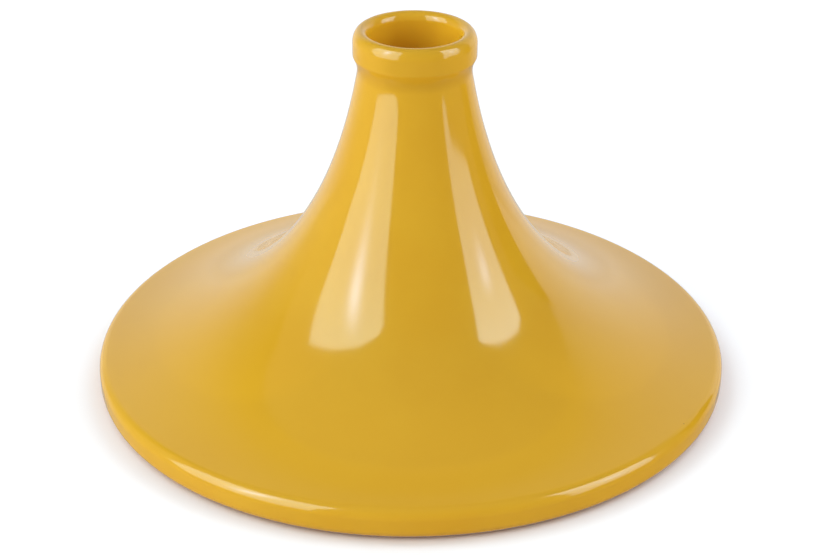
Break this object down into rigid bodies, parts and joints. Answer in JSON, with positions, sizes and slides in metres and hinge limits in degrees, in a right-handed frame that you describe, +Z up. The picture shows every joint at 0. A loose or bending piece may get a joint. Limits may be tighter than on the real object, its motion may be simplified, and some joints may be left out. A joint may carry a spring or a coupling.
{
  "type": "tagine",
  "caption": "Stoneware tagine: a trumpet-shaped lid with a wide brim, a rounded rim and a collared cup at its top lifts off a shallow round dish that stands beneath it.",
  "frame": {"origin": "middle of the dish's foot ring, on the surface that the tagine stands on", "axes": "+Z up along the axis that both pieces are turned about; X and Y are free, because the tagine is round"},
  "size_m": [0.28, 0.28, 0.1604],
  "materials": {
    "yellow_glaze": "glossy yellow glaze over stoneware"
  },
  "bodies": {
    "dish": {"dish": "yellow_glaze"},
    "lid": {"lid": "yellow_glaze"}
  },
  "joints": [
    {"name": "lid_lift", "type": "slide", "parent": "dish", "child": "lid", "axis": [0, 0, 1], "range_m": [0, 0.2]}
  ]
}
